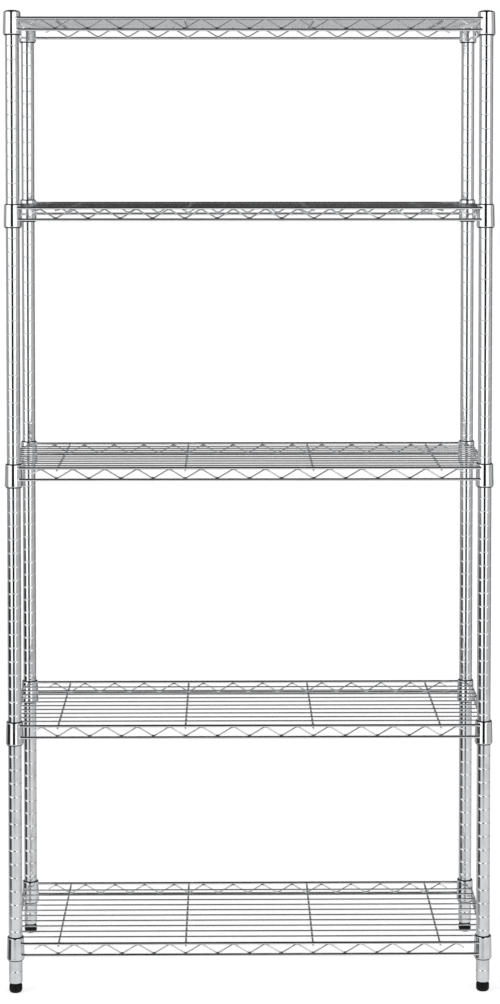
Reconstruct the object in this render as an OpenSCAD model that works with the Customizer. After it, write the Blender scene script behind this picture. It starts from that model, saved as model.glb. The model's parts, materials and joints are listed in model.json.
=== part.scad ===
// Wire shelving rack: four grooved posts in screwed halves, five welded wire
// shelves wedged on tapered split sleeves, and screw-in levelling feet.
// The origin is on the floor, in the middle of the footprint.
// +X runs along the shelves, +Z is up and the front faces -Y.

/* [Rack] */
// Distance between post centres along the shelves
post_span_x = 876; // [440:1:1500]
// Distance between post centres across the shelves
post_span_y = 322; // [260:1:600]

/* [Shelf heights, as a groove of the posts] */
// Groove that carries the lowest shelf
shelf_1_groove = 1; // [1:1:12]
// Groove that carries the second shelf
shelf_2_groove = 17; // [15:1:32]
// Groove that carries the middle shelf
shelf_3_groove = 36; // [36:1:50]
// Groove that carries the fourth shelf
shelf_4_groove = 55; // [53:1:64]
// Groove that carries the top shelf
shelf_5_groove = 69; // [67:1:69]

/* [Posts] */
// Outer diameter of a post tube
post_d = 25.4; // [25:0.1:26]
// Wall thickness of a post tube
post_wall = 1.2; // [1:0.1:1.5]
// Distance from groove to groove
groove_pitch = 25.4; // [25:0.1:26]
// Width of a groove at the surface
groove_w = 2; // [1.6:0.1:3]
// Depth of a groove
groove_depth = 0.6; // [0.4:0.05:0.7]

/* [Collars and sleeves] */
// Height of a corner collar
collar_h = 41.2; // [40:0.2:44]
// Outer diameter at the top of a collar
collar_top_d = 31.4; // [30.5:0.1:33]
// Outer diameter at the bottom of a collar
collar_bottom_d = 33.5; // [33:0.1:35]
// Wall thickness of a collar
collar_wall = 1.6; // [1.4:0.1:1.8]
// How far a sleeve shows above its collar
sleeve_above = 1.6; // [1:0.1:3]
// How far a sleeve shows below its collar
sleeve_below = 2; // [1:0.1:3]

/* [Shelf wires] */
// Diameter of the perimeter rails
rail_d = 5; // [4.5:0.1:5.5]
// Distance between the upper and the lower perimeter rail
rail_drop = 21.5; // [20:0.5:24]
// Diameter of the zigzag truss wire
truss_d = 3; // [2.6:0.1:3.4]
// Distance from bend to bend of the truss wire
truss_pitch = 59.6; // [50:0.2:75]
// Diameter of the wires that run the length of the deck
deck_d = 3; // [2.6:0.1:3.4]
// Number of wires that run the length of the deck
deck_count = 10; // [6:1:14]
// Distance between the wires of the deck
deck_spacing = 29.6; // [15:0.1:31]
// Diameter of the wires that cross under the deck
cross_d = 4; // [3.6:0.1:4.4]
// Number of truss bends from one crossing wire to the next
cross_bends = 4; // [2:1:6]

/* [Feet] */
// Diameter of a foot pad
pad_d = 24.6; // [22:0.1:25]
// Height of a foot pad
pad_h = 17.4; // [16:0.1:20]
// Diameter of the threaded studs
stud_d = 8; // [7:0.5:9]
// Size of the stud's hexagon across its flats
hex_af = 13; // [12:0.5:13]

/* [Hidden] */
$fn = 64;
SHELVES = [1, 2, 3, 4, 5];
CORNERS = ["fl", "fr", "rl", "rr"];
SHELF_PIECES = [
    "collars", "long_rails", "end_rails", "long_zigzags", "end_zigzags", "deck_wires", "cross_wires"
];

chrome = "#c9cdd2";
zinc = "#b8bcc0";
black = "#1b1b1d";

// Clearances and laps
slip = 0.05; // between a sleeve and its post
taper_fit = 0.1; // between a sleeve and its collar
press = 0.05; // how much a pressed plug is oversize
weld = 0.15; // how deep two welded wires sink into each other
thread_gap = 0.1; // between a stud and its thread hole

// Posts, from the bottom up
post_r = post_d / 2;
bore_r = post_r - post_wall;
post_foot_z = pad_h + 1.1;
first_groove_z = post_foot_z + 22.5;
grooves_per_half = 35;
seam_z = first_groove_z + grooves_per_half * groove_pitch;
post_top_z = seam_z + grooves_per_half * groove_pitch + 13;
edge = 0.5; // chamfer on the ends of a tube

// Corners of the shelves: two grooves sit inside each collar, the lower one at rib_z
collar_top_z = 9;
rib_z = -28.6;
shelf_grooves = [shelf_1_groove, shelf_2_groove, shelf_3_groove, shelf_4_groove, shelf_5_groove];
function corner_z(s) = first_groove_z + shelf_grooves[s - 1] * groove_pitch - rib_z;

// Height of a shelf's upper long rails in its collars: the top and bottom shelves hang lower
rail_in_collar = [-0.9, 3.1, 3.1, 3.1, -2.6];
function rail_rise(s) = rail_in_collar[s - 1];

// Heights and places within a shelf, measured from its upper long rail
rail_out = 11; // rails stand this far outside the post centres
rail_r = rail_d / 2;
truss_r = truss_d / 2;
deck_r = deck_d / 2;
cross_r = cross_d / 2;
cross_z = -(rail_r + cross_r - weld);
deck_z = cross_z + cross_r + deck_r - weld;
end_rail_z = deck_z - deck_r - rail_r + weld;
long_x = post_span_x / 2 + rail_out;
long_y = post_span_y / 2 + rail_out;
truss_drop = 3; // bends lie this far inside the rails, up and down
truss_sides = 10; // flats around the bent wire
truss_in = sqrt(pow(rail_r + truss_r - weld, 2) - pow(truss_drop, 2));
truss_clear = 20; // free length between a truss wire and the posts
cross_over = 2; // a crossing wire ends this far outside the long rails

// Feet and plugs
foot_travel_hex = 0.2; // gap above the hexagon when screwed home
hex_h = 3;
socket_r = hex_af / sqrt(3) + 0.7;
socket_floor_z = post_foot_z - foot_travel_hex - hex_h - 0.2;
knob_r = 5.4; // round end that keeps the stud in its pad
knob_z = 4.6;
knob_h = 3.4;
plug_h = 27;
plug_recess = 0.3; // each plug ends this far inside its tube
joiner_half = 22;

function corner_x(c) = (c[1] == "l" ? -1 : 1) * post_span_x / 2;
function corner_y(c) = (c[0] == "f" ? -1 : 1) * post_span_y / 2;

module at_corner(c) {
    translate([corner_x(c), corner_y(c), 0])
        children();
}

module at_corners() {
    for (c = CORNERS) {
        at_corner(c)
            children();
    }
}

// Round wire from one point to another
module rod(from, to, d) {
    run = to - from;
    length = norm(run);
    translate(from)
        rotate([0, acos(run[2] / length), atan2(run[1], run[0])])
            cylinder(h = length, d = d);
}

// ---- posts ----

// Corners of one groove in the outline of a tube
function groove_outline(z) = [
    [post_r, z - groove_w / 2],
    [post_r - groove_depth, z - groove_w / 4],
    [post_r - groove_depth, z + groove_w / 4],
    [post_r, z + groove_w / 2]
];

// Grooved tube from z0 to z1, with its first groove at z_groove
module post_tube(z0, z1, z_groove) {
    grooves = [for (i = [0:grooves_per_half - 1]) each groove_outline(z_groove + i * groove_pitch)];
    color(chrome)
        rotate_extrude()
            polygon(concat(
                [[bore_r, z0], [post_r - edge, z0], [post_r, z0 + edge]],
                grooves,
                [[post_r, z1 - edge], [post_r - edge, z1], [bore_r, z1]]
            ));
}

module post_lower() {
    post_tube(post_foot_z, seam_z, first_groove_z);
}

module post_upper() {
    post_tube(seam_z, post_top_z, seam_z + groove_pitch);
}

// Threaded studs that join the two halves of each post
module post_joiner_studs() {
    color(zinc)
        at_corners()
            translate([0, 0, seam_z - joiner_half])
                cylinder(h = 2 * joiner_half, d = stud_d);
}

module threaded_plug() {
    difference() {
        cylinder(h = plug_h, r = bore_r + press);
        translate([0, 0, -1])
            cylinder(h = plug_h + 2, r = stud_d / 2 + thread_gap);
    }
}

// Plugs pressed in the tubes: one at each foot and one on each side of the seam
module threaded_plugs() {
    color(zinc)
        at_corners()
            for (z = [post_foot_z + plug_recess, seam_z - plug_recess - plug_h, seam_z + plug_recess]) {
                translate([0, 0, z])
                    threaded_plug();
            }
}

// Domed caps pressed in the tops of the posts
module post_caps() {
    rim = 1.2;
    dome = 3;
    stem = 14;
    stem_wall = 1.6;
    color(black)
        at_corners()
            translate([0, 0, post_top_z])
                rotate_extrude()
                    polygon([
                        [0, dome], [5, dome - 0.1], [9, dome - 0.5], [11.4, dome - 1.1],
                        [post_r - 0.1, rim], [post_r - 0.1, 0], [bore_r + press, 0],
                        [bore_r + press, -stem], [bore_r - stem_wall, -stem],
                        [bore_r - stem_wall, -1], [0, -1]
                    ]);
}

// ---- feet ----

// Round pad with a socket for the hexagon and a pocket for the stud's round end
module foot_pad(c) {
    color(black)
        at_corner(c)
            rotate_extrude()
                polygon([
                    [0, 0], [pad_d / 2 - 2.4, 0], [pad_d / 2 - 0.8, 1], [pad_d / 2, 3.2],
                    [pad_d / 2, pad_h - 4.4], [pad_d / 2 - 0.6, pad_h - 2], [pad_d / 2 - 2, pad_h - 0.5],
                    [pad_d / 2 - 3, pad_h], [socket_r, pad_h], [socket_r, socket_floor_z],
                    [stud_d / 2 + 0.3, socket_floor_z], [stud_d / 2 + 0.3, knob_z + knob_h + 0.3],
                    [knob_r + 0.3, knob_z + knob_h + 0.3], [knob_r + 0.3, knob_z - 0.3], [0, knob_z - 0.3]
                ]);
}

// Stud with a round end below, a hexagon for the spanner and a shank that screws up
module foot_stud(c) {
    color(zinc)
        at_corner(c) {
            translate([0, 0, knob_z])
                cylinder(h = knob_h, r = knob_r);
            translate([0, 0, knob_z + 1])
                cylinder(h = 40, d = stud_d);
            translate([0, 0, post_foot_z - foot_travel_hex - hex_h])
                cylinder(h = hex_h, d = hex_af * 2 / sqrt(3), $fn = 6);
        }
}

// ---- sleeves ----

collar_top_r = collar_top_d / 2;
collar_bottom_r = collar_bottom_d / 2;
collar_taper = (collar_bottom_r - collar_top_r) / collar_h;

// Outer radius of a collar, at a height in its corner
function collar_r(z) = collar_top_r + (collar_top_z - z) * collar_taper;

// Outer radius of a sleeve, which follows the bore of its collar
function sleeve_r(z) = collar_r(z) - collar_wall - taper_fit;

// Two half sleeves around each post, with ribs that sit in two grooves
module sleeves(s) {
    split_angle = 2;
    bands = 7; // shallow rings along the taper
    band_step = 0.01;
    inner_r = post_r + slip;
    rib_r = post_r - groove_depth + 0.1;
    top = collar_top_z + sleeve_above;
    bottom = collar_top_z - collar_h - sleeve_below;
    ribs = [rib_z + groove_pitch, rib_z];
    color(black)
        at_corners()
            translate([0, 0, corner_z(s)])
                for (side = [0, 180]) {
                    rotate([0, 0, side + split_angle / 2])
                        rotate_extrude(angle = 180 - split_angle)
                            polygon(concat(
                                [[inner_r, bottom], [sleeve_r(bottom) - 0.5, bottom]],
                                [
                                    for (i = [0 : bands])
                                        let (z = bottom + 0.6 + i * (top - bottom - 1) / bands)
                                            [sleeve_r(z) - (i % 2) * band_step, z]
                                ],
                                [[sleeve_r(top) - 0.4, top], [inner_r, top]],
                                [
                                    for (z = ribs) each [
                                        [inner_r, z + 0.8], [rib_r, z + 0.4],
                                        [rib_r, z - 0.4], [inner_r, z - 0.8]
                                    ]
                                ]
                            ));
                }
}

// ---- shelves ----

module at_shelf(s) {
    translate([0, 0, corner_z(s) + rail_rise(s)])
        children();
}

// Tapered tubes at the four corners of a shelf
module shelf_collars(s) {
    top = collar_top_z;
    bottom = collar_top_z - collar_h;
    color(chrome)
        translate([0, 0, corner_z(s)])
            at_corners()
                rotate_extrude()
                    polygon([
                        [collar_r(bottom) - collar_wall, bottom], [collar_r(bottom) - 1.1, bottom],
                        [collar_r(bottom) - 0.3, bottom + 0.4], [collar_r(bottom), bottom + 1.3],
                        [collar_r(top), top - 1.3], [collar_r(top) - 0.3, top - 0.4],
                        [collar_r(top) - 1.1, top], [collar_r(top) - collar_wall, top]
                    ]);
}

// Cones half way through the walls of the collars, which trim the ends of the rails
module rail_ends(s) {
    bottom = collar_top_z - collar_h - 5;
    top = collar_top_z + 5;
    at_corners()
        translate([0, 0, bottom - rail_rise(s)])
            cylinder(h = top - bottom, r1 = collar_r(bottom) - collar_wall / 2,
                r2 = collar_r(top) - collar_wall / 2);
}

// Upper and lower rails along the front and the back
module shelf_long_rails(s) {
    reach = post_span_x / 2 - 4;
    color(chrome)
        at_shelf(s)
            difference() {
                for (y = [-long_y, long_y], z = [0, -rail_drop]) {
                    rod([-reach, y, z], [reach, y, z], rail_d);
                }
                rail_ends(s);
            }
}

// Upper and lower rails at the two ends; the upper one carries the deck
module shelf_end_rails(s) {
    reach = post_span_y / 2 - 4;
    color(chrome)
        at_shelf(s)
            difference() {
                for (x = [-long_x, long_x], z = [end_rail_z, -rail_drop]) {
                    rod([x, -reach, z], [x, reach, z], rail_d);
                }
                rail_ends(s);
            }
}

// Points along a truss wire, as distance along and height, between two rails
function truss_points(span, high_rail, low_rail) =
    let (
        bends = floor((span - 2 * truss_clear) / truss_pitch),
        high = high_rail - truss_drop,
        low = low_rail + truss_drop,
        first = -(bends - 1) / 2 * truss_pitch,
        end = bends / 2 * truss_pitch - truss_pitch / 4
    )
    concat(
        [[-end, (high + low) / 2]],
        [
            for (i = [0:2 * bends - 2])
                [first + i * truss_pitch / 2, i % 2 == 0 ? high : low]
        ],
        [[end, (high + low) / 2]]
    );

// In-plane normal of the run that starts at point i
function run_normal(points, i) =
    let (run = points[i + 1] - points[i])
    [-run[1], run[0]] / norm(run);

// Direction in which the mitre at point i stretches the wire's section
function mitre(points, i) =
    let (
        before = run_normal(points, max(i - 1, 0)),
        after = run_normal(points, min(i, len(points) - 2)),
        middle = (before + after) / norm(before + after)
    )
    middle / (middle * after);

// Bent wire of truss_sides flats in the XZ plane, mitred at its bends
module bent_wire(points) {
    r = truss_r / cos(180 / truss_sides);
    last = len(points) - 1;
    rings = [
        for (i = [0:last], k = [0:truss_sides - 1])
            let (angle = (k + 0.5) * 360 / truss_sides, side = mitre(points, i) * r * cos(angle))
            [points[i][0] + side[0], -r * sin(angle), points[i][1] + side[1]]
    ];
    flats = [
        for (i = [0:last - 1], k = [0:truss_sides - 1])
            let (next = (k + 1) % truss_sides)
            [
                (i + 1) * truss_sides + k, (i + 1) * truss_sides + next,
                i * truss_sides + next, i * truss_sides + k
            ]
    ];
    start = [for (k = [0:truss_sides - 1]) k];
    end = [for (k = [truss_sides - 1:-1:0]) last * truss_sides + k];
    polyhedron(points = rings, faces = concat(flats, [start, end]));
}

module shelf_long_zigzags(s) {
    color(chrome)
        at_shelf(s)
            for (y = [-1, 1] * (long_y - truss_in)) {
                translate([0, y, 0])
                    bent_wire(truss_points(post_span_x, 0, -rail_drop));
            }
}

module shelf_end_zigzags(s) {
    color(chrome)
        at_shelf(s)
            for (x = [-1, 1] * (long_x - truss_in)) {
                translate([x, 0, 0])
                    rotate([0, 0, 90])
                        bent_wire(truss_points(post_span_y, end_rail_z, -rail_drop));
            }
}

// Wires along the deck, which rest on the crossing wires and the end rails
module shelf_deck_wires(s) {
    reach = long_x + rail_r - 1;
    color(chrome)
        at_shelf(s)
            for (i = [0:deck_count - 1]) {
                y = (i - (deck_count - 1) / 2) * deck_spacing;
                rod([-reach, y, deck_z], [reach, y, deck_z], deck_d, $fn = 32);
            }
}

// Wires across the shelf, under the deck and under the long rails
module shelf_cross_wires(s) {
    reach = long_y + cross_over;
    spacing = cross_bends * truss_pitch;
    count = floor(post_span_x / spacing) + 1;
    color(chrome)
        at_shelf(s)
            for (i = [0:count - 1]) {
                x = (i - (count - 1) / 2) * spacing;
                rod([x, -reach, cross_z], [x, reach, cross_z], cross_d, $fn = 32);
            }
}

for (c = CORNERS) {
    at_corner(c) post_lower();
    at_corner(c) post_upper();
    foot_pad(c);
    foot_stud(c);
}
for (s = SHELVES) {
    sleeves(s);
    shelf_collars(s);
    shelf_long_rails(s);
    shelf_end_rails(s);
    shelf_long_zigzags(s);
    shelf_end_zigzags(s);
    shelf_deck_wires(s);
    shelf_cross_wires(s);
}
post_joiner_studs();
threaded_plugs();
post_caps();
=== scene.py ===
"""Wire shelving rack: grooved chrome posts, welded wire shelves, split sleeves and screw feet."""

import json
from math import atan2, cos, pi, radians, sin, sqrt, tan

import bmesh
import bpy
from mathutils import Matrix, Vector


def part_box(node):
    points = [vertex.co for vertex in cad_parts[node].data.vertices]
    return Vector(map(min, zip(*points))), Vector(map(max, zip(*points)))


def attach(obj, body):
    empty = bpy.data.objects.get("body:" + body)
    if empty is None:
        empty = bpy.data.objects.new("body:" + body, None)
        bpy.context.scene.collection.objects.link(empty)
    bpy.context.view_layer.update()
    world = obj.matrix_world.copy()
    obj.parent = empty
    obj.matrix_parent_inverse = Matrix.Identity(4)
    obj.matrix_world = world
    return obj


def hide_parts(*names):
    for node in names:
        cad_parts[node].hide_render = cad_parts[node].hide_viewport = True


bl_info = {
    "name": "Wire shelving rack",
    "version": (1, 0, 0),
    "blender": (4, 5, 0),
    "location": "View3D > Sidebar > Rack",
    "description": "Builds the posts, shelves, sleeves and feet of a wire shelving rack",
    "category": "Object",
}

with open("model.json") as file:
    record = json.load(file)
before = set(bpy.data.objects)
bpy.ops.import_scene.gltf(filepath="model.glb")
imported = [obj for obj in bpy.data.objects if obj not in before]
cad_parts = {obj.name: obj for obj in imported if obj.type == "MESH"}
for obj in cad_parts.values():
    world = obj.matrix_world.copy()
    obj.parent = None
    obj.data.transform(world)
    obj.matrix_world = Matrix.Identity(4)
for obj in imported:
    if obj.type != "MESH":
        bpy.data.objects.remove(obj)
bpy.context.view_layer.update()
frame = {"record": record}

RECORD = frame["record"]
BODY_OF = {node: body for body, nodes in RECORD["behaviour"]["bodies"].items() for node in nodes}
SLOT_OF = {part["node"]: part["material_slot"] for part in RECORD["subparts"]}
MM = 0.001
CORNERS = ("fl", "fr", "rl", "rr")
SHELVES = (1, 2, 3, 4, 5)
GROOVES_PER_HALF = 35
DECK_WIRES = 10
STUD_RADIUS = 4 * MM
PLUG_RECESS = 0.3 * MM
TINY = 1e-6
X, Y, Z = Vector((1, 0, 0)), Vector((0, 1, 0)), Vector((0, 0, 1))


# ---- what the frame says ----


def middle(node):
    """Middle of a node's box."""
    low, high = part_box(node)
    return (low + high) / 2


def post_place(corner):
    """Point on the floor under a post's axis."""
    at = middle(f"post_lower_{corner}")
    return Vector((at.x, at.y, 0))


POSTS = {corner: post_place(corner) for corner in CORNERS}
POST_RADIUS = (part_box("post_lower_fl")[1].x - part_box("post_lower_fl")[0].x) / 2
COLLARS = {shelf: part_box(f"shelf_{shelf}_collars") for shelf in SHELVES}


def shelf_height(shelf):
    """Height of a shelf's upper long rail."""
    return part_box(f"shelf_{shelf}_long_rails")[1].z - sizes().rail_diameter / 2


# ---- sizes and colours ----


def length(name, text, default):
    """A length that the user may change."""
    return bpy.props.FloatProperty(
        name=name, description=text, default=default, min=0, precision=5, unit="LENGTH"
    )


def amount(name, text, default):
    """A share from 0 to 1."""
    return bpy.props.FloatProperty(
        name=name, description=text, default=default, min=0, max=1, subtype="FACTOR"
    )


def colour(name, text, default):
    """A colour that the user may change."""
    return bpy.props.FloatVectorProperty(
        name=name, description=text, default=default, size=3, min=0, max=1, subtype="COLOR"
    )


class RackSizes(bpy.types.PropertyGroup):
    """Sizes that the frame's boxes don't give."""

    post_wall: length("Post wall", "Thickness of the post tube", 1.2 * MM)
    groove_pitch: length("Groove pitch", "Distance from groove to groove", 25.4 * MM)
    groove_width: length("Groove width", "Width of a groove at the surface", 2.4 * MM)
    groove_depth: length("Groove depth", "Depth of a rolled groove", 0.42 * MM)
    rail_diameter: length("Rail", "Diameter of the perimeter rails", 5 * MM)
    rail_drop: length("Rail drop", "Upper rail to lower rail", 21.5 * MM)
    truss_diameter: length("Truss wire", "Diameter of the zigzag wire", 3 * MM)
    truss_pitch: length("Truss pitch", "Distance from bend to bend", 59.6 * MM)
    truss_bend: length("Truss bend", "Radius of a bend, at the wire's centre", 7 * MM)
    truss_clearance: length("Truss clearance", "Height from a rail to a bend's centre", 3 * MM)
    collar_wall: length("Collar wall", "Thickness of a collar", 1.6 * MM)
    collar_top: length("Collar top", "Outer diameter at the top of a collar", 31.4 * MM)
    collar_bottom: length("Collar bottom", "Outer diameter at the bottom of a collar", 33.5 * MM)
    sleeve_fit: length("Sleeve fit", "Gap from a sleeve to its collar", 0.1 * MM)
    thread_pitch: length("Thread pitch", "Pitch of the foot and joiner studs", 1.25 * MM)
    thread_depth: length("Thread depth", "Depth of that thread", 0.7 * MM)
    weld_bead: length("Weld bead", "How far a weld stands out round a rail's end", 0.7 * MM)


class RackColours(bpy.types.PropertyGroup):
    """Colours and finish."""

    chrome: colour("Chrome", "Bright plate", (0.74, 0.75, 0.765))
    chrome_shade: colour("Chrome shade", "Plate where it is thinner or duller", (0.58, 0.585, 0.6))
    black: colour("Black plastic", "Sleeves, caps and pads", (0.006, 0.006, 0.0065))
    dust: colour("Dust", "Dust and scuffs on the plastic", (0.035, 0.034, 0.033))
    zinc: colour("Zinc", "Plated studs and plugs", (0.56, 0.57, 0.58))
    floor: colour("Floor", "The floor that the rack stands on", (0.93, 0.93, 0.93))
    polish: amount("Polish", "Roughness of the brightest chrome", 0.045)


def sizes():
    return bpy.context.scene.rack_sizes


def colours():
    return bpy.context.scene.rack_colours


# ---- mesh work ----


def outline(bm, points, shut=True):
    """Draws (radius, height) points as wire edges in the XZ plane and returns their vertices."""
    verts = [bm.verts.new((radius, 0, height)) for radius, height in points]
    ends = verts[1:] + verts[:1] if shut else verts[1:]
    for pair in zip(verts, ends):
        bm.edges.new(pair)
    return verts


def soften(bm, parts, radius, segments=3, affect="VERTICES"):
    """Rounds off vertices of an outline, or edges of a shape."""
    bmesh.ops.bevel(
        bm, geom=parts, offset=radius, offset_type="OFFSET", segments=segments,
        profile=0.5, affect=affect, material=-1, clamp_overlap=True,
    )


def turn_round(bm, steps, sweep=2 * pi, start=0.0, climb=0.0):
    """Turns everything in bm about the Z axis; a full turn is merged, a part turn gets its ends."""
    full = sweep >= 2 * pi and not climb
    if start:
        turned = Matrix.Rotation(start, 3, "Z")
        bmesh.ops.rotate(bm, verts=bm.verts[:], cent=(0, 0, 0), matrix=turned)
    drawn = bm.verts[:] + bm.edges[:]
    made = bmesh.ops.spin(
        bm, geom=drawn, cent=(0, 0, 0), axis=(0, 0, 1), dvec=(0, 0, climb),
        angle=sweep, steps=steps, use_merge=full, use_duplicate=False,
    )
    if not full and not climb:
        for rim in (drawn, made["geom_last"]):
            edges = [part for part in rim if isinstance(part, bmesh.types.BMEdge)]
            bmesh.ops.contextual_create(bm, geom=edges)
    bmesh.ops.remove_doubles(bm, verts=bm.verts[:], dist=TINY)
    bmesh.ops.recalc_face_normals(bm, faces=bm.faces[:])


def repeat_at(bm, places):
    """Copies everything in bm to each place."""
    first = bm.verts[:] + bm.edges[:] + bm.faces[:]
    for place in places[1:]:
        copy = bmesh.ops.duplicate(bm, geom=first)["geom"]
        moved = [part for part in copy if isinstance(part, bmesh.types.BMVert)]
        bmesh.ops.translate(bm, verts=moved, vec=place)
    originals = [part for part in first if isinstance(part, bmesh.types.BMVert)]
    bmesh.ops.translate(bm, verts=originals, vec=places[0])


def add_shape(bm, other):
    """Moves everything of another bmesh into bm."""
    spare = bpy.data.meshes.new("spare")
    other.to_mesh(spare)
    other.free()
    bm.from_mesh(spare)
    bpy.data.meshes.remove(spare)


def cut(bm, point, normal, drop_outer=False):
    """Cuts everything in bm by a plane."""
    bmesh.ops.bisect_plane(
        bm, geom=bm.verts[:] + bm.edges[:] + bm.faces[:], dist=TINY / 10,
        plane_co=point, plane_no=normal, clear_outer=drop_outer,
    )


def rod(bm, start, end, radius, round_end=0.4 * MM):
    """Straight wire with softened ends."""
    sides = 16
    way = end - start
    turn = way.to_track_quat("Z", "Y").to_matrix().to_4x4()
    made = bmesh.ops.create_cone(
        bm, cap_ends=True, segments=sides, radius1=radius, radius2=radius,
        depth=way.length, matrix=Matrix.Translation((start + end) / 2) @ turn,
    )
    caps = {face for vert in made["verts"] for face in vert.link_faces if len(face.verts) == sides}
    rims = {edge for face in caps for edge in face.edges}
    soften(bm, list(rims), round_end, segments=2, affect="EDGES")


def steady_ends(bm, axis, reach):
    """Adds a loop near each end of wires, so that their soft ends don't shade their length."""
    inset = 1.5 * MM
    for side in (-1, 1):
        cut(bm, axis * side * (reach - inset), axis)


def ring(bm, at, heading, radius, sides):
    """Loop of edges square to a heading, the start of a wire."""
    turn = heading.to_track_quat("Z", "Y").to_matrix().to_4x4()
    made = bmesh.ops.create_circle(
        bm, cap_ends=False, segments=sides, radius=radius, matrix=Matrix.Translation(at) @ turn
    )
    return list({edge for vert in made["verts"] for edge in vert.link_edges})


def extend(bm, loop, move):
    """Carries a wire's last loop straight on and returns the new loop."""
    made = bmesh.ops.extrude_edge_only(bm, edges=loop)["geom"]
    verts = {part for part in made if isinstance(part, bmesh.types.BMVert)}
    bmesh.ops.translate(bm, verts=list(verts), vec=move)
    return [
        part for part in made
        if isinstance(part, bmesh.types.BMEdge) and set(part.verts) <= verts
    ]


def curve_on(bm, loop, centre, axis, angle, steps):
    """Carries a wire's last loop round a bend and returns the new loop."""
    verts = list({vert for edge in loop for vert in edge.verts})
    made = bmesh.ops.spin(
        bm, geom=verts + loop, cent=centre, axis=axis, dvec=(0, 0, 0),
        angle=angle, steps=steps, use_merge=False, use_duplicate=False,
    )
    return [part for part in made["geom_last"] if isinstance(part, bmesh.types.BMEdge)]


def cap(bm, loop):
    """Closes a wire's last loop with a softened flat end."""
    bmesh.ops.contextual_create(bm, geom=loop)
    soften(bm, loop, 0.3 * MM, segments=2, affect="EDGES")


def weld(bm, at, half_size, along=X):
    """Small nugget of metal squeezed out where two wires are welded."""
    turn = along.to_track_quat("X", "Z").to_matrix().to_4x4()
    bmesh.ops.create_uvsphere(
        bm, u_segments=8, v_segments=5, radius=1,
        matrix=Matrix.Translation(at) @ turn @ Matrix.Diagonal((*half_size, 1)),
    )


def finish_piece(bm, node, material, crease=35):
    """Makes bm the finished piece that stands for a CAD node and rides on its body."""
    for face in bm.faces:
        face.smooth = True
    for edge in bm.edges:
        edge.smooth = edge.calc_face_angle(0) < radians(crease)
    mesh = bpy.data.meshes.new(f"{node}_made")
    bm.to_mesh(mesh)
    bm.free()
    mesh.materials.append(material)
    piece = bpy.data.objects.new(f"{node}_made", mesh)
    bpy.context.scene.collection.objects.link(piece)
    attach(piece, BODY_OF[node])
    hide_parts(node)


# ---- materials ----


class Nodes:
    """Short ways to place and link the nodes of one tree."""

    def __init__(self, tree):
        self.tree = tree
        tree.nodes.clear()

    def add(self, kind, values=None, **settings):
        """A node with its settings, its fixed values and its links."""
        made = self.tree.nodes.new(kind)
        for name, value in settings.items():
            setattr(made, name, value)
        for socket, value in (values or {}).items():
            if isinstance(value, bpy.types.NodeSocket):
                self.tree.links.new(value, made.inputs[socket])
            else:
                made.inputs[socket].default_value = value
        return made

    def math(self, operation, first, second=0.0, third=0.0):
        return self.add(
            "ShaderNodeMath", {0: first, 1: second, 2: third}, operation=operation
        ).outputs[0]

    def plus(self, first, second):
        return self.math("ADD", first, second)

    def minus(self, first, second):
        return self.math("SUBTRACT", first, second)

    def times(self, first, second):
        return self.math("MULTIPLY", first, second)

    def step(self, value, low, high, low_out=0.0, high_out=1.0):
        """Smooth step of a value from low_out to high_out."""
        return self.add(
            "ShaderNodeMapRange",
            {
                "Value": value, "From Min": low, "From Max": high,
                "To Min": low_out, "To Max": high_out,
            },
            interpolation_type="SMOOTHSTEP",
        ).outputs[0]

    def noise(self, where, scale, detail, stretch=(1, 1, 1)):
        """Noise in metres of the piece, drawn out along an axis by a small stretch there."""
        mapped = self.add("ShaderNodeMapping", {"Vector": where, "Scale": stretch}).outputs[0]
        return self.add(
            "ShaderNodeTexNoise", {"Vector": mapped, "Scale": scale, "Detail": detail}
        ).outputs["Fac"]

    def mix(self, share, first, second):
        return self.add(
            "ShaderNodeMix", {"Factor": share, "A": first, "B": second}, data_type="RGBA"
        ).outputs["Result"]

    def bump(self, strength, distance, height):
        return self.add(
            "ShaderNodeBump", {"Strength": strength, "Distance": distance, "Height": height}
        ).outputs[0]


def rgba(value):
    return (*value, 1.0)


def start_material(name):
    """New material, its node helper, its shader and the piece's own coordinates."""
    material = bpy.data.materials.new(name)
    material.use_nodes = True
    nodes = Nodes(material.node_tree)
    shader = nodes.add("ShaderNodeBsdfPrincipled")
    output = nodes.add("ShaderNodeOutputMaterial")
    nodes.tree.links.new(shader.outputs[0], output.inputs["Surface"])
    where = nodes.add("ShaderNodeTexCoord").outputs["Object"]
    return material, nodes, shader, where


def plug_in(nodes, shader, **links):
    """Links values to the shader's sockets, whose names have spaces for the underscores."""
    for socket, value in links.items():
        nodes.tree.links.new(value, shader.inputs[socket.replace("_", " ")])


def chrome(name, streak, haze, ripple):
    """Chrome plate: fine draw lines along streak, patches of haze and a faint ripple."""
    material, nodes, shader, where = start_material(name)
    shader.inputs["Metallic"].default_value = 1.0
    polish, bright, shade = colours().polish, rgba(colours().chrome), rgba(colours().chrome_shade)
    lines = nodes.noise(where, 900, 4, streak)
    patches = nodes.noise(where, 38, 4)
    specks = nodes.noise(where, 1900, 2)
    waves = nodes.noise(where, 140, 2)
    dull = nodes.step(patches, 0.42, 0.72)
    drawn = nodes.step(lines, 0.35, 0.75, polish, polish + 0.05)
    rough = nodes.plus(drawn, nodes.times(dull, haze))
    rough = nodes.plus(rough, nodes.step(specks, 0.68, 0.8, 0, 0.12))
    tone = nodes.mix(nodes.times(dull, 0.45), bright, shade)
    tone = nodes.mix(nodes.step(specks, 0.7, 0.82, 0, 0.35), tone, shade)
    bump = nodes.bump(ripple, 0.05 * MM, nodes.plus(nodes.times(lines, 0.35), waves))
    plug_in(nodes, shader, Base_Color=tone, Roughness=rough, Normal=bump)
    return material


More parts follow.
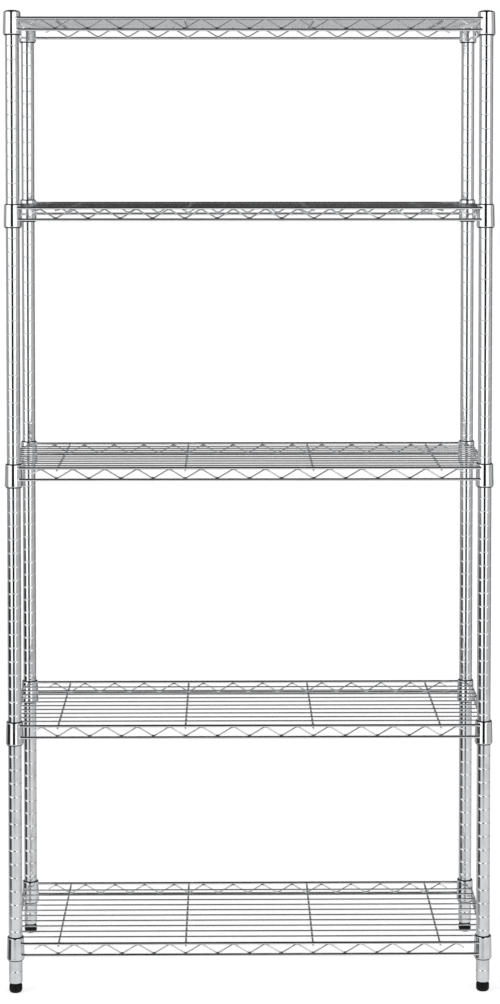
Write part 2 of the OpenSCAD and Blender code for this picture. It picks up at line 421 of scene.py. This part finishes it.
def plastic(name, gloss, grain):
    """Moulded black plastic with a fine grain, worn a little paler in patches."""
    material, nodes, shader, where = start_material(name)
    shader.inputs["Specular IOR Level"].default_value = 0.1
    fine = nodes.noise(where, 2600, 3)
    patches = nodes.noise(where, 90, 5)
    worn = nodes.step(patches, 0.52, 0.8, 0, 0.5)
    tone = nodes.mix(worn, rgba(colours().black), rgba(colours().dust))
    rough = nodes.plus(nodes.step(fine, 0.3, 0.7, gloss, gloss + 0.12), nodes.times(worn, 0.3))
    bump = nodes.bump(grain, 0.08 * MM, fine)
    plug_in(nodes, shader, Base_Color=tone, Roughness=rough, Normal=bump)
    return material


def zinc(name):
    """Bright zinc plate on machined steel: turning marks round the axis and dull patches."""
    material, nodes, shader, where = start_material(name)
    shader.inputs["Metallic"].default_value = 1.0
    dull = rgba((0.4, 0.4, 0.4))
    marks = nodes.noise(where, 700, 3, (0.15, 0.15, 4))
    patches = nodes.noise(where, 120, 4)
    tone = nodes.mix(nodes.step(patches, 0.4, 0.75, 0, 0.6), rgba(colours().zinc), dull)
    rough = nodes.plus(
        nodes.step(marks, 0.3, 0.7, 0.2, 0.3), nodes.step(patches, 0.4, 0.8, 0, 0.15)
    )
    bump = nodes.bump(0.3, 0.04 * MM, marks)
    plug_in(nodes, shader, Base_Color=tone, Roughness=rough, Normal=bump)
    return material


MATERIALS = {}

RECIPES = {
    "post_chrome": lambda: chrome("post_chrome", (1, 1, 0.02), 0.05, 0.12),
    "collar_chrome": lambda: chrome("collar_chrome", (1, 1, 0.3), 0.06, 0.15),
    "wire_chrome": lambda: chrome("wire_chrome", (0.1, 0.1, 1), 0.08, 0.1),
    "sleeve_plastic": lambda: plastic("sleeve_plastic", 0.38, 0.35),
    "black_plastic": lambda: plastic("black_plastic", 0.26, 0.2),
    "foot_plastic": lambda: plastic("foot_plastic", 0.42, 0.45),
    "zinc_plate": lambda: zinc("zinc_plate"),
}


def material_for(node):
    """The finish of a node's slot, made once."""
    slot = SLOT_OF[node]
    if slot not in MATERIALS:
        MATERIALS[slot] = RECIPES[slot]()
    return MATERIALS[slot]


# ---- posts, caps and the plugs inside ----


def groove_heights(node, half):
    """Heights of the grooves of one half of a post."""
    low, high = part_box(node)
    pitch = sizes().groove_pitch
    first = high.z - GROOVES_PER_HALF * pitch if half == "lower" else low.z + pitch
    return [first + i * pitch for i in range(GROOVES_PER_HALF)]


def groove_points(radius, height):
    """One shallow rolled groove, with a plain band at each side that steadies the shading."""
    half = sizes().groove_width / 2
    depth = sizes().groove_depth
    # each point is a share of half the width and a share of the depth
    section = ((-1.5, 0), (-1.0, 0), (-0.62, 0.28), (-0.3, 0.8), (0, 1))
    section += tuple((-across, down) for across, down in section[-2::-1])
    return [(radius - down * depth, height + across * half) for across, down in section]


def make_post(corner, half):
    node = f"post_{half}_{corner}"
    low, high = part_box(node)
    bore = POST_RADIUS - sizes().post_wall
    edge = 1.5 * MM
    bm = bmesh.new()
    points = [(bore, low.z), (POST_RADIUS, low.z), (POST_RADIUS, low.z + edge)]
    for height in groove_heights(node, half):
        points += groove_points(POST_RADIUS, height)
    points += [(POST_RADIUS, high.z - edge), (POST_RADIUS, high.z), (bore, high.z)]
    verts = outline(bm, points)
    soften(bm, [verts[1], verts[-2]], 0.5 * MM, segments=3)
    turn_round(bm, 56)
    repeat_at(bm, [POSTS[corner]])
    finish_piece(bm, node, material_for(node), crease=50)


def make_caps():
    low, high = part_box("post_caps")
    rim_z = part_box("post_upper_fl")[1].z
    rim = POST_RADIUS - 0.1 * MM
    stem = POST_RADIUS - sizes().post_wall
    stem_bore = stem - 1.6 * MM
    roof = rim_z - 1 * MM
    rise = high.z - rim_z
    bm = bmesh.new()
    verts = outline(
        bm,
        [
            (0, high.z), (rim * 0.55, high.z - rise * 0.12), (rim, high.z - rise * 0.6),
            (rim, rim_z), (stem, rim_z), (stem, low.z), (stem_bore, low.z), (stem_bore, roof),
            (0, roof),
        ],
        shut=False,
    )
    soften(bm, [verts[1]], 3 * MM, segments=4)
    soften(bm, [verts[2]], 0.9 * MM, segments=4)
    soften(bm, [verts[3], verts[5], verts[6]], 0.3 * MM, segments=2)
    turn_round(bm, 56)
    repeat_at(bm, list(POSTS.values()))
    finish_piece(bm, "post_caps", material_for("post_caps"))


def thread(bm, low, high, radius):
    """Right-hand thread on a stud, cut square at both ends."""
    size = sizes()
    pitch, root = size.thread_pitch, radius - size.thread_depth
    per_turn = 20
    turns = int((high - low) / pitch) + 2
    outline(
        bm,
        [
            (root, low - pitch), (root, low - 0.87 * pitch), (radius, low - 0.54 * pitch),
            (radius, low - 0.46 * pitch), (root, low - 0.13 * pitch), (root, low),
        ],
        shut=False,
    )
    turn_round(bm, per_turn * turns, 2 * pi * turns, climb=pitch / per_turn)
    for height, side in ((low, -1), (high, 1)):
        cut(bm, Z * height, Z * side, drop_outer=True)
        open_edges = [edge for edge in bm.edges if edge.is_boundary]
        rim = [edge for edge in open_edges if abs(edge.verts[0].co.z - height) < TINY]
        bmesh.ops.holes_fill(bm, edges=rim)
    bmesh.ops.recalc_face_normals(bm, faces=bm.faces[:])


def make_joiners():
    low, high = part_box("post_joiner_studs")
    bm = bmesh.new()
    thread(bm, low.z, high.z, STUD_RADIUS)
    repeat_at(bm, list(POSTS.values()))
    finish_piece(bm, "post_joiner_studs", material_for("post_joiner_studs"))


def make_plugs():
    """Pressed plugs: a lead-in at each end and a waist in the middle."""
    low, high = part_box("threaded_plugs")
    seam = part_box("post_lower_fl")[1].z
    plug = high.z - seam - PLUG_RECESS
    outer = POST_RADIUS - sizes().post_wall
    waist = outer - 0.4 * MM
    bore = STUD_RADIUS + 0.1 * MM
    bm = bmesh.new()
    verts = outline(
        bm,
        [
            (bore, 0), (outer, 0), (outer, plug * 0.3), (waist, plug * 0.34),
            (waist, plug * 0.66), (outer, plug * 0.7), (outer, plug), (bore, plug),
        ],
    )
    soften(bm, [verts[0], verts[1], verts[6], verts[7]], 0.7 * MM, segments=2)
    turn_round(bm, 48)
    starts = (low.z, seam - PLUG_RECESS - plug, seam + PLUG_RECESS)
    repeat_at(bm, [place + Z * start for place in POSTS.values() for start in starts])
    finish_piece(bm, "threaded_plugs", material_for("threaded_plugs"))


# ---- feet ----


def make_pad(corner):
    node = f"foot_pad_{corner}"
    low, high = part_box(node)
    outer = (high.x - low.x) / 2
    top = high.z
    socket = 8.2 * MM
    socket_floor = top - 2.3 * MM
    neck = 4.3 * MM
    pocket, pocket_floor, pocket_top = 5.7 * MM, 4.3 * MM, 8.3 * MM
    bm = bmesh.new()
    verts = outline(
        bm,
        [
            (0, 0.4 * MM), (outer - 5 * MM, 0.4 * MM), (outer - 5.4 * MM, 0), (outer - 2.2 * MM, 0),
            (outer, 3 * MM), (outer, top - 4 * MM), (outer - 2.6 * MM, top), (socket, top),
            (socket, socket_floor), (neck, socket_floor), (neck, pocket_top), (pocket, pocket_top),
            (pocket, pocket_floor), (0, pocket_floor),
        ],
        shut=False,
    )
    soften(bm, [verts[4], verts[5]], 2.4 * MM, segments=5)
    soften(bm, [verts[3], verts[6]], 0.9 * MM, segments=3)
    soften(bm, [verts[7]], 0.3 * MM, segments=2)
    turn_round(bm, 56)
    repeat_at(bm, [POSTS[corner]])
    finish_piece(bm, node, material_for(node))


def make_stud(corner):
    """Threaded shank, spanner hexagon and round end, in one piece."""
    node = f"foot_stud_{corner}"
    low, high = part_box(node)
    post_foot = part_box(f"post_lower_{corner}")[0].z
    hexagon = 3 * MM
    hexagon_top = post_foot - 0.2 * MM
    hexagon_middle = hexagon_top - hexagon / 2
    hexagon_radius = (high.y - low.y) / 2 / cos(pi / 6)
    button = 5.4 * MM
    button_top = low.z + 3.4 * MM
    bm = bmesh.new()
    thread(bm, hexagon_top - 0.5 * MM, high.z, STUD_RADIUS)
    turn = Matrix.Rotation(pi / 6, 4, "Z")
    made = bmesh.ops.create_cone(
        bm, cap_ends=True, segments=6, radius1=hexagon_radius, radius2=hexagon_radius,
        depth=hexagon, matrix=Matrix.Translation(Z * hexagon_middle) @ turn,
    )
    rims = {edge for vert in made["verts"] for edge in vert.link_edges}
    soften(bm, list(rims), 0.35 * MM, segments=3, affect="EDGES")
    shank = bmesh.new()
    verts = outline(
        shank,
        [
            (0, low.z), (button, low.z), (button, button_top), (STUD_RADIUS, button_top),
            (STUD_RADIUS, hexagon_middle), (0, hexagon_middle),
        ],
        shut=False,
    )
    soften(shank, [verts[1], verts[2]], 1.2 * MM, segments=4)
    turn_round(shank, 40)
    add_shape(bm, shank)
    repeat_at(bm, [POSTS[corner]])
    finish_piece(bm, node, material_for(node))


# ---- collars and sleeves ----


def collar_radius(shelf, height):
    """Outer radius of a shelf's collars at a height."""
    low, high = COLLARS[shelf]
    size = sizes()
    slope = (size.collar_bottom - size.collar_top) / 2 / (high.z - low.z)
    return size.collar_top / 2 + (high.z - height) * slope


def sleeve_radius(shelf, height):
    return collar_radius(shelf, height) - sizes().collar_wall - sizes().sleeve_fit


def make_collars(shelf):
    node = f"shelf_{shelf}_collars"
    low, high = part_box(node)
    wall = sizes().collar_wall
    edge = 1.8 * MM
    face = [
        (collar_radius(shelf, height), height)
        for height in (low.z, low.z + edge, high.z - edge, high.z)
    ]
    bm = bmesh.new()
    verts = outline(bm, [(face[0][0] - wall, low.z), *face, (face[-1][0] - wall, high.z)])
    soften(bm, [verts[1], verts[4]], 0.9 * MM, segments=4)
    soften(bm, [verts[0], verts[5]], 0.25 * MM, segments=2)
    turn_round(bm, 64)
    repeat_at(bm, list(POSTS.values()))
    finish_piece(bm, node, material_for(node))


def make_sleeves(shelf):
    """Two tapered halves round each post, with ribs that sit in two grooves."""
    node = f"sleeves_{shelf}"
    low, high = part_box(node)
    size = sizes()
    inner = POST_RADIUS + 0.05 * MM
    rib = POST_RADIUS - size.groove_depth + 0.1 * MM
    rib_root, rib_tip = 0.8 * MM, 0.4 * MM
    lower_rib = low.z + 5.6 * MM
    edge = 1 * MM
    split = radians(2)
    points = [(inner, low.z)]
    points += [
        (sleeve_radius(shelf, height), height)
        for height in (low.z, low.z + edge, high.z - edge, high.z)
    ]
    points.append((inner, high.z))
    for at in (lower_rib + size.groove_pitch, lower_rib):
        points += [
            (inner, at + rib_root), (rib, at + rib_tip), (rib, at - rib_tip), (inner, at - rib_root)
        ]
    bm = bmesh.new()
    for side in (0, pi):
        half = bmesh.new()
        verts = outline(half, points)
        soften(half, [verts[1], verts[4]], 0.35 * MM, segments=3)
        turn_round(half, 28, pi - split, start=side + split / 2)
        add_shape(bm, half)
    repeat_at(bm, list(POSTS.values()))
    finish_piece(bm, node, material_for(node))


# ---- shelf wires ----


def set_on_collar(verts, axis, along, sign, shelf, out):
    """Slides a rail's vertices along it until they stand a little way out of a collar's surface."""
    across = Y if along is X else X
    for vert in verts:
        away = (vert.co - axis).dot(across)
        radius = collar_radius(shelf, vert.co.z) + out
        reach = sqrt(max(radius ** 2 - away ** 2, 0))
        vert.co += along * ((axis + along * sign * reach - vert.co).dot(along))


def swell(verts, line, along, factor):
    """Scales a loop of a rail about the rail's centre line."""
    for vert in verts:
        side = vert.co - line
        side -= along * side.dot(along)
        vert.co += side * (factor - 1)


def rail(bm, first, last, along, offset, height, shelf):
    """Rail welded to the collars round two posts: each end is coped and has a bead round it."""
    size = sizes()
    radius = size.rail_diameter / 2
    bead = size.weld_bead
    # each loop is a distance out of the collar's surface and how far its metal stands out
    end = (
        (-size.collar_wall / 2, bead), (0.1 * MM, bead), (0.5 * MM, bead * 0.5), (1.3 * MM, 0.0),
        (2.5 * MM, 0.0),
    )
    rings = [(first, 1, out, extra) for out, extra in end]
    rings += [(last, -1, out, extra) for out, extra in reversed(end)]
    line = first + offset
    line.z = height
    loop = ring(bm, line, along, radius + bead, 20)
    first_loop, current = loop, bead
    for i, (axis, sign, out, extra) in enumerate(rings):
        if i:
            loop = extend(bm, loop, (0, 0, 0))
        verts = {vert for edge in loop for vert in edge.verts}
        swell(verts, line, along, (radius + extra) / (radius + current))
        set_on_collar(verts, axis, along, sign, shelf, out)
        current = extra
    for edges in (first_loop, loop):
        bmesh.ops.contextual_create(bm, geom=edges)


def rail_levels(shelf, end_rails):
    """Heights of the upper and the lower rail of a shelf's long sides or of its ends."""
    size = sizes()
    lower = shelf_height(shelf) - size.rail_drop
    if not end_rails:
        return shelf_height(shelf), lower
    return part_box(f"shelf_{shelf}_end_rails")[1].z - size.rail_diameter / 2, lower


def make_long_rails(shelf):
    node = f"shelf_{shelf}_long_rails"
    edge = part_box(node)[1].y - sizes().rail_diameter / 2
    bm = bmesh.new()
    for side, sign in (("f", -1), ("r", 1)):
        first, last = POSTS[side + "l"], POSTS[side + "r"]
        for height in rail_levels(shelf, False):
            rail(bm, first, last, X, Y * (sign * edge - first.y), height, shelf)
    bmesh.ops.recalc_face_normals(bm, faces=bm.faces[:])
    finish_piece(bm, node, material_for(node), crease=60)


def make_end_rails(shelf):
    node = f"shelf_{shelf}_end_rails"
    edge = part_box(node)[1].x - sizes().rail_diameter / 2
    bm = bmesh.new()
    for side, sign in (("l", -1), ("r", 1)):
        first, last = POSTS["f" + side], POSTS["r" + side]
        for height in rail_levels(shelf, True):
            rail(bm, first, last, Y, X * (sign * edge - first.x), height, shelf)
    bmesh.ops.recalc_face_normals(bm, faces=bm.faces[:])
    finish_piece(bm, node, material_for(node), crease=60)


def zigzag(bm, along, plane, low, high, reach):
    """Bent wire between two rails: low and high are the heights of its bends' centre line."""
    size = sizes()
    radius = size.truss_diameter / 2
    half_pitch = size.truss_pitch / 2
    turn = size.truss_bend
    slope = atan2(high - low, half_pitch)
    for _ in range(6):  # the corners move out a little as the slope settles
        spare = turn * (1 / cos(slope) - 1)
        slope = atan2(high - low + 2 * spare, half_pitch)
    tangent = turn * tan(slope)
    bends = round((2 * reach + half_pitch) / size.truss_pitch)
    first = -(bends - 1) / 2 * size.truss_pitch
    end = -first + half_pitch / 2
    corners = [
        (first + i * half_pitch, high + spare if i % 2 == 0 else low - spare)
        for i in range(2 * bends - 1)
    ]
    normal = along.cross(Z)  # turns along towards Z

    def at(u, v):
        return plane + along * u + Z * v

    middle_height = (low + high) / 2
    ends = [at(-end, middle_height), at(end, middle_height)]
    up, down = along * cos(slope) + Z * sin(slope), along * cos(slope) - Z * sin(slope)
    start_run = at(*corners[0]) - up * tangent
    loop = ring(bm, ends[0], start_run - ends[0], radius, 14)
    first_loop = loop
    here = ends[0]
    for i, corner in enumerate(corners):
        rising = i % 2 == 0
        before, after = (up, down) if rising else (down, up)
        enter = at(*corner) - before * tangent
        leave = at(*corner) + after * tangent
        loop = extend(bm, loop, enter - here)
        inside = -turn if rising else turn
        centre = at(corner[0], corner[1] + inside / cos(slope))
        loop = curve_on(bm, loop, centre, normal, -2 * slope if rising else 2 * slope, 8)
        here = leave
    loop = extend(bm, loop, ends[1] - here)
    for edges in (first_loop, loop):
        cap(bm, edges)
    return corners, spare


def truss_welds(bm, along, across, edge, plane, corners, spare, low, high):
    """Nuggets where the bends touch the rails, which lie further out along across."""
    for u, v in corners:
        top = v > (low + high) / 2
        bend = plane + along * u + Z * (v - spare if top else v + spare)
        rail_at = along * u + across * edge + Z * (high if top else low)
        towards = (rail_at - bend).normalized()
        place = bend + towards * sizes().truss_diameter / 2
        weld(bm, place, (2.6 * MM, 0.9 * MM, 0.9 * MM), along)


def make_zigzags(shelf, kind):
    """Zigzag wires of the long sides or of the ends."""
    node = f"shelf_{shelf}_{kind}_zigzags"
    low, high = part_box(node)
    size = sizes()
    radius = size.truss_diameter / 2
    is_end = kind == "end"
    along, across = (Y, X) if is_end else (X, Y)
    upper, lower = rail_levels(shelf, is_end)
    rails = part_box(f"shelf_{shelf}_{kind}_rails")[1]
    edge = rails.dot(across) - size.rail_diameter / 2
    inset = middle_of_wire(node, across, radius)
    reach = high.dot(along)
    bm = bmesh.new()
    for sign in (-1, 1):
        plane = across * sign * inset
        wire_low, wire_high = lower + size.truss_clearance, upper - size.truss_clearance
        corners, spare = zigzag(bm, along, plane, wire_low, wire_high, reach)
        truss_welds(bm, along, across, sign * edge, plane, corners, spare, lower, upper)
    bmesh.ops.recalc_face_normals(bm, faces=bm.faces[:])
    finish_piece(bm, node, material_for(node), crease=50)


def middle_of_wire(node, across, radius):
    """Distance from the middle of the rack to the centre of an outer wire."""
    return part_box(node)[1].dot(across) - radius


def make_deck_wires(shelf):
    node = f"shelf_{shelf}_deck_wires"
    low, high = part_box(node)
    radius = (high.z - low.z) / 2
    height = (high.z + low.z) / 2
    reach = high.x
    cross = cross_places(shelf)
    end_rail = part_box(f"shelf_{shelf}_end_rails")[1].x - sizes().rail_diameter / 2
    nugget = (1.5 * MM, 1.5 * MM, 0.75 * MM)
    gap = (high.y - low.y - 2 * radius) / (DECK_WIRES - 1)
    lines = [low.y + radius + i * gap for i in range(DECK_WIRES)]
    bm = bmesh.new()
    for y in lines:
        rod(bm, Vector((-reach, y, height)), Vector((reach, y, height)), radius)
    steady_ends(bm, X, reach)
    for y in lines:
        for x in cross + [-end_rail, end_rail]:
            weld(bm, Vector((x, y, low.z + 0.1 * MM)), nugget)
    finish_piece(bm, node, material_for(node), crease=50)


def cross_places(shelf):
    """X of each wire that crosses under the deck."""
    low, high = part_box(f"shelf_{shelf}_cross_wires")
    radius = (high.z - low.z) / 2
    outer = high.x - radius
    return [-outer, -outer / 3, outer / 3, outer]


def make_cross_wires(shelf):
    node = f"shelf_{shelf}_cross_wires"
    low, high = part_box(node)
    radius = (high.z - low.z) / 2
    height = (high.z + low.z) / 2
    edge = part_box(f"shelf_{shelf}_long_rails")[1].y - sizes().rail_diameter / 2
    nugget = (2.0 * MM, 2.0 * MM, 0.9 * MM)
    bm = bmesh.new()
    for x in cross_places(shelf):
        rod(bm, Vector((x, low.y, height)), Vector((x, high.y, height)), radius, round_end=0.6 * MM)
    steady_ends(bm, Y, high.y)
    for x in cross_places(shelf):
        for y in (-edge, edge):
            weld(bm, Vector((x, y, high.z)), nugget)
    finish_piece(bm, node, material_for(node), crease=50)


# ---- stage ----


def studio_walls(nodes, bearing, rise):
    """Light of the walls, and how far a direction is clear of the dark gap between the boxes.

    The bearing is in radians from straight in front, to the right positive; rise is the sine of
    the elevation.
    """
    box_light, left_grey, right_grey, right_dark, back_shade = 1.6, 0.44, 0.56, 0.2, 0.3
    gap_bearing, gap_blur, low_gap, high_gap, gap_spread = -0.09, 0.03, 0.29, 0.18, 0.6
    left_reach, left_taper, right_reach, right_taper, box_blur = 1.46, 2.6, 1.07, 2.4, 0.05
    ceiling = 0.22

    aloft = nodes.step(rise, 0.03, 0.10)
    half_gap = nodes.plus(
        nodes.step(rise, 0.03, 0.10, low_gap, 0),
        nodes.times(aloft, nodes.math("MULTIPLY_ADD", rise, gap_spread, high_gap)),
    )
    off_gap = nodes.minus(bearing, gap_bearing)
    left = nodes.step(nodes.plus(off_gap, half_gap), -gap_blur, gap_blur, 1, 0)
    right = nodes.step(nodes.minus(off_gap, half_gap), -gap_blur, gap_blur)
    clear = nodes.plus(left, right)

    below = nodes.math("MINIMUM", rise, 0)
    left_edge = nodes.plus(bearing, nodes.math("MULTIPLY_ADD", below, left_taper, left_reach))
    right_edge = nodes.minus(bearing, nodes.math("MULTIPLY_ADD", below, right_taper, right_reach))
    boxes = nodes.plus(
        nodes.times(left, nodes.step(left_edge, -box_blur, box_blur)),
        nodes.times(right, nodes.step(right_edge, -box_blur, box_blur, 1, 0)),
    )

    grey = nodes.plus(
        nodes.step(bearing, -0.5, -0.4, left_grey, 0),
        nodes.times(
            nodes.step(bearing, 1.88, 2.02, right_grey, right_dark), nodes.step(bearing, -0.5, -0.4)
        ),
    )
    grey = nodes.minus(grey, nodes.step(bearing, -2.75, -2.6, back_shade, 0))
    walls = nodes.plus(
        nodes.times(boxes, box_light), nodes.times(nodes.minus(clear, boxes), grey)
    )
    return nodes.times(walls, nodes.step(rise, 0.62, 0.9, 1, ceiling)), clear


def studio_light(nodes, bearing, rise):
    """Walls over a pale floor, with a dark strip low on the left."""
    front_floor, back_floor, strip_shade, faint = 0.87, 0.52, 0.95, 0.008
    walls, clear = studio_walls(nodes, bearing, rise)
    floor = nodes.step(nodes.math("ABSOLUTE", bearing), 0.9, 2.6, front_floor, back_floor)
    level = nodes.math("MULTIPLY_ADD", nodes.minus(1.0, clear), 0.03, rise)
    above = nodes.step(level, -0.27, -0.215)
    seen = nodes.plus(nodes.times(walls, above), nodes.times(floor, nodes.minus(1.0, above)))
    across = nodes.times(
        nodes.step(bearing, -2.0, -1.8), nodes.step(bearing, -1.1, -0.85, 1, 0)
    )
    upright = nodes.times(
        nodes.step(rise, -0.345, -0.31), nodes.step(rise, -0.2, -0.14, 1, 0)
    )
    strip = nodes.times(across, upright)
    lit = nodes.times(seen, nodes.math("MULTIPLY_ADD", strip, -strip_shade, 1.0))
    return nodes.plus(lit, faint)


def build_world():
    """Soft studio in what the rack reflects, and plain white behind it."""
    world = bpy.data.worlds.new("studio")
    bpy.context.scene.world = world
    world.use_nodes = True
    nodes = Nodes(world.node_tree)
    way = nodes.add("ShaderNodeTexCoord").outputs["Generated"]
    x, y, z = nodes.add("ShaderNodeSeparateXYZ", {0: way}).outputs
    bearing = nodes.math("ARCTAN2", x, nodes.times(y, -1))
    white = (1, 1, 1, 1)
    light = studio_light(nodes, bearing, z)
    reflected = nodes.add("ShaderNodeBackground", {"Color": white, "Strength": light}).outputs[0]
    backdrop = nodes.add("ShaderNodeBackground", {"Color": white, "Strength": 1.0}).outputs[0]
    direct = nodes.add("ShaderNodeLightPath").outputs["Is Camera Ray"]
    shown = nodes.add("ShaderNodeMixShader", {0: direct, 1: reflected, 2: backdrop}).outputs[0]
    nodes.add("ShaderNodeOutputWorld", {"Surface": shown})


def build_floor():
    """Pale floor, kept out of reflections so that it doesn't wash out the chrome."""
    bm = bmesh.new()
    bmesh.ops.create_circle(bm, cap_ends=True, segments=96, radius=30)
    mesh = bpy.data.meshes.new("floor")
    bm.to_mesh(mesh)
    bm.free()
    floor = bpy.data.objects.new("floor", mesh)
    bpy.context.scene.collection.objects.link(floor)
    material, nodes, shader, where = start_material("floor_paint")
    scuffed = rgba((0.9, 0.9, 0.9))
    tone = nodes.mix(nodes.noise(where, 3, 2), rgba(colours().floor), scuffed)
    plug_in(nodes, shader, Base_Color=tone)
    shader.inputs["Roughness"].default_value = 0.9
    shader.inputs["Specular IOR Level"].default_value = 0.0
    shader.inputs["Emission Color"].default_value = (1, 1, 1, 1)
    shader.inputs["Emission Strength"].default_value = 0.68
    mesh.materials.append(material)
    floor.visible_glossy = False


def build_camera():
    """Camera in front of the rack and a little above its middle, aimed slightly down."""
    data = bpy.data.cameras.new("camera")
    data.lens = 81.02
    data.sensor_width = 36
    data.shift_y = -0.27
    camera = bpy.data.objects.new("camera", data)
    bpy.context.scene.collection.objects.link(camera)
    camera.location = (-0.0391, -4.3432, 1.5909)
    tilt_down, turn_right = 0.0392, 0.0096
    camera.rotation_euler = (pi / 2 - tilt_down, 0, -turn_right)
    bpy.context.scene.camera = camera


# ---- operators ----


class RACK_OT_posts(bpy.types.Operator):
    """Make the grooved halves of the posts"""

    bl_idname = "rack.posts"
    bl_label = "Posts"

    def execute(self, context):
        for corner in CORNERS:
            for half in ("lower", "upper"):
                make_post(corner, half)
        return {"FINISHED"}


class RACK_OT_caps(bpy.types.Operator):
    """Make the domed caps in the tops of the posts"""

    bl_idname = "rack.caps"
    bl_label = "Post caps"

    def execute(self, context):
        make_caps()
        return {"FINISHED"}


class RACK_OT_joiners(bpy.types.Operator):
    """Make the studs and plugs that join the post halves"""

    bl_idname = "rack.joiners"
    bl_label = "Joiner studs and plugs"

    def execute(self, context):
        make_joiners()
        make_plugs()
        return {"FINISHED"}


class RACK_OT_feet(bpy.types.Operator):
    """Make the foot pads and their threaded studs"""

    bl_idname = "rack.feet"
    bl_label = "Levelling feet"

    def execute(self, context):
        for corner in CORNERS:
            make_pad(corner)
            make_stud(corner)
        return {"FINISHED"}


class RACK_OT_collars(bpy.types.Operator):
    """Make the tapered collars at the corners of the shelves"""

    bl_idname = "rack.collars"
    bl_label = "Collars"

    def execute(self, context):
        for shelf in SHELVES:
            make_collars(shelf)
        return {"FINISHED"}


class RACK_OT_sleeves(bpy.types.Operator):
    """Make the split sleeves that hold the shelves on the posts"""

    bl_idname = "rack.sleeves"
    bl_label = "Split sleeves"

    def execute(self, context):
        for shelf in SHELVES:
            make_sleeves(shelf)
        return {"FINISHED"}


class RACK_OT_rails(bpy.types.Operator):
    """Make the perimeter rails with their welded ends"""

    bl_idname = "rack.rails"
    bl_label = "Rails"

    def execute(self, context):
        for shelf in SHELVES:
            make_long_rails(shelf)
            make_end_rails(shelf)
        return {"FINISHED"}


class RACK_OT_trusses(bpy.types.Operator):
    """Make the zigzag truss wires between the rails"""

    bl_idname = "rack.trusses"
    bl_label = "Truss wires"

    def execute(self, context):
        for shelf in SHELVES:
            make_zigzags(shelf, "long")
            make_zigzags(shelf, "end")
        return {"FINISHED"}


class RACK_OT_decks(bpy.types.Operator):
    """Make the deck wires and the wires that cross under them"""

    bl_idname = "rack.decks"
    bl_label = "Decks"

    def execute(self, context):
        for shelf in SHELVES:
            make_deck_wires(shelf)
            make_cross_wires(shelf)
        return {"FINISHED"}


class RACK_OT_stage(bpy.types.Operator):
    """Make the floor, the studio light and the camera"""

    bl_idname = "rack.stage"
    bl_label = "Stage"

    def execute(self, context):
        context.scene.view_settings.view_transform = "Standard"
        build_world()
        build_floor()
        build_camera()
        return {"FINISHED"}


OPERATORS = (
    RACK_OT_posts, RACK_OT_caps, RACK_OT_joiners, RACK_OT_feet, RACK_OT_collars,
    RACK_OT_sleeves, RACK_OT_rails, RACK_OT_trusses, RACK_OT_decks, RACK_OT_stage,
)


class RACK_PT_rack(bpy.types.Panel):
    """Lists the rack's pieces and its sizes"""

    bl_label = "Wire rack"
    bl_idname = "RACK_PT_rack"
    bl_space_type = "VIEW_3D"
    bl_region_type = "UI"
    bl_category = "Rack"

    def draw(self, context):
        for operator in OPERATORS:
            self.layout.operator(operator.bl_idname)
        for group in (context.scene.rack_sizes, context.scene.rack_colours):
            column = self.layout.column(align=True)
            for name in group.__annotations__:
                column.prop(group, name)


CLASSES = (RackSizes, RackColours, *OPERATORS, RACK_PT_rack)


def register():
    for cls in CLASSES:
        bpy.utils.register_class(cls)
    bpy.types.Scene.rack_sizes = bpy.props.PointerProperty(type=RackSizes)
    bpy.types.Scene.rack_colours = bpy.props.PointerProperty(type=RackColours)


def unregister():
    del bpy.types.Scene.rack_colours
    del bpy.types.Scene.rack_sizes
    for cls in reversed(CLASSES):
        bpy.utils.unregister_class(cls)


def main():
    register()
    for operator in OPERATORS:
        group, name = operator.bl_idname.split(".")
        getattr(getattr(bpy.ops, group), name)()


if __name__ == "__main__":
    main()
